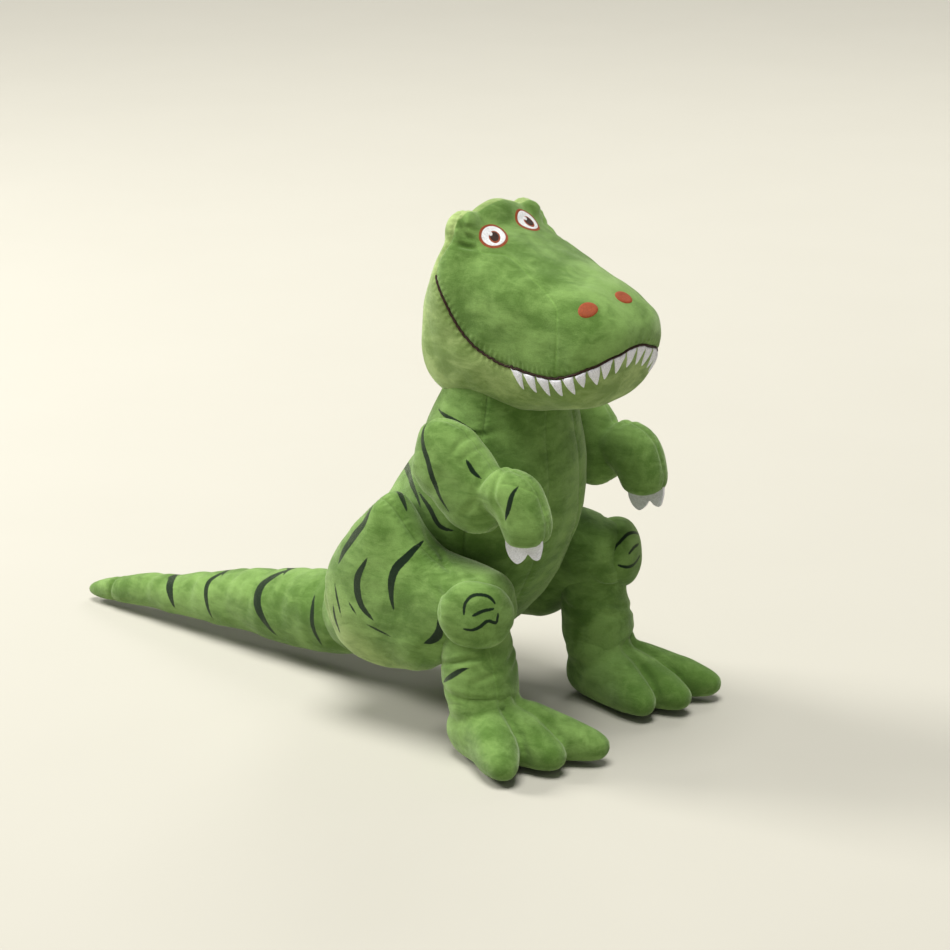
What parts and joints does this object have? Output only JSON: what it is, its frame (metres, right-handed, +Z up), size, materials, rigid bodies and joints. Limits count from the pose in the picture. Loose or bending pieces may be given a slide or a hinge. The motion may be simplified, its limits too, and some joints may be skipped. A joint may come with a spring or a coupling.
{
  "type": "stuffed toy dinosaur",
  "caption": "Soft stuffed toy dinosaur standing on its hind legs and the end of its tail, with a boxy toothed head and short arms; its neck, limbs and tail flex at their sewn seams",
  "frame": {"origin": "on the floor under the centre of the bounding box", "axes": "+X the way the toy faces, from the tip of its tail to its nose, +Y its left, +Z up"},
  "size_m": [1.0518, 0.4665, 0.74],
  "materials": {
    "plush": "short-pile plush, mid green",
    "pale_plush": "short-pile plush, yellowish green",
    "wadding": "loose polyester fibre filling",
    "felt": "thin white felt",
    "dark_thread": "dark brown embroidery",
    "eye_thread": "white embroidery",
    "rust_thread": "rust-red embroidery"
  },
  "bodies": {
    "torso": {"chest_panel": "plush", "torso_panel_right": "plush", "torso_panel_left": "plush", "torso_filling": "wadding"},
    "neck": {"neck_filling": "wadding"},
    "head": {"head_top_panel": "plush", "head_side_panel_right": "plush", "head_side_panel_left": "plush", "jaw_panel": "pale_plush", "head_filling": "wadding", "mouth_seam": "dark_thread", "teeth": "felt", "eye_right": "eye_thread", "pupil_right": "dark_thread", "nostril_right": "rust_thread", "eye_left": "eye_thread", "pupil_left": "dark_thread", "nostril_left": "rust_thread"},
    "arm_right": {"arm_outer_panel_right": "plush", "arm_inner_panel_right": "plush", "arm_filling_right": "wadding", "claws_right": "felt"},
    "arm_left": {"arm_outer_panel_left": "plush", "arm_inner_panel_left": "plush", "arm_filling_left": "wadding", "claws_left": "felt"},
    "leg_right": {"thigh_outer_panel_right": "plush", "thigh_inner_panel_right": "plush", "thigh_filling_right": "wadding", "knee_pad_right": "plush", "shin_skin_right": "plush", "shin_filling_right": "wadding"},
    "foot_right": {"foot_upper_right": "plush", "foot_sole_right": "pale_plush", "foot_filling_right": "wadding"},
    "leg_left": {"thigh_outer_panel_left": "plush", "thigh_inner_panel_left": "plush", "thigh_filling_left": "wadding", "knee_pad_left": "plush", "shin_skin_left": "plush", "shin_filling_left": "wadding"},
    "foot_left": {"foot_upper_left": "plush", "foot_sole_left": "pale_plush", "foot_filling_left": "wadding"},
    "tail_base": {"tail_base_skin": "plush", "tail_base_filling": "wadding"},
    "tail_end": {"tail_end_skin": "plush", "tail_tip_skin": "plush", "tail_end_filling": "wadding"}
  },
  "joints": [
    {"name": "neck_turn", "type": "hinge", "parent": "torso", "child": "neck", "pos_m": [0.286, 0, 0.52], "axis": [0, 0, 1], "range_deg": [-22, 38], "stiffness_Nm_per_rad": 4},
    {"name": "head_nod", "type": "hinge", "parent": "neck", "child": "head", "pos_m": [0.286, 0, 0.52], "axis": [0.1392, 0.9903, 0], "range_deg": [-9, 9], "stiffness_Nm_per_rad": 10},
    {"name": "arm_swing_right", "type": "hinge", "parent": "torso", "child": "arm_right", "pos_m": [0.27, -0.106, 0.4], "axis": [0, 1, 0], "range_deg": [-20, 8], "stiffness_Nm_per_rad": 1.5},
    {"name": "arm_swing_left", "type": "hinge", "parent": "torso", "child": "arm_left", "pos_m": [0.27, 0.106, 0.4], "axis": [0, 1, 0], "range_deg": [-20, 8], "stiffness_Nm_per_rad": 1.5},
    {"name": "hip_swing_right", "type": "hinge", "parent": "torso", "child": "leg_right", "pos_m": [0.18, -0.092, 0.212], "axis": [0, 1, 0], "range_deg": [-10, 12], "stiffness_Nm_per_rad": 25},
    {"name": "ankle_flex_right", "type": "hinge", "parent": "leg_right", "child": "foot_right", "pos_m": [0.35, -0.14, 0.084], "axis": [0, 1, 0], "range_deg": [-11, 11], "stiffness_Nm_per_rad": 12},
    {"name": "hip_swing_left", "type": "hinge", "parent": "torso", "child": "leg_left", "pos_m": [0.18, 0.092, 0.212], "axis": [0, 1, 0], "range_deg": [-10, 12], "stiffness_Nm_per_rad": 25},
    {"name": "ankle_flex_left", "type": "hinge", "parent": "leg_left", "child": "foot_left", "pos_m": [0.35, 0.14, 0.084], "axis": [0, 1, 0], "range_deg": [-11, 11], "stiffness_Nm_per_rad": 12},
    {"name": "tail_root_swing", "type": "hinge", "parent": "torso", "child": "tail_base", "pos_m": [0.02, 0, 0.094], "axis": [0, 0, 1], "range_deg": [-20, 20], "stiffness_Nm_per_rad": 4},
    {"name": "tail_mid_swing", "type": "hinge", "parent": "tail_base", "child": "tail_end", "pos_m": [-0.195, 0, 0.069], "axis": [0, 0, 1], "range_deg": [-14, 14], "stiffness_Nm_per_rad": 2}
  ]
}
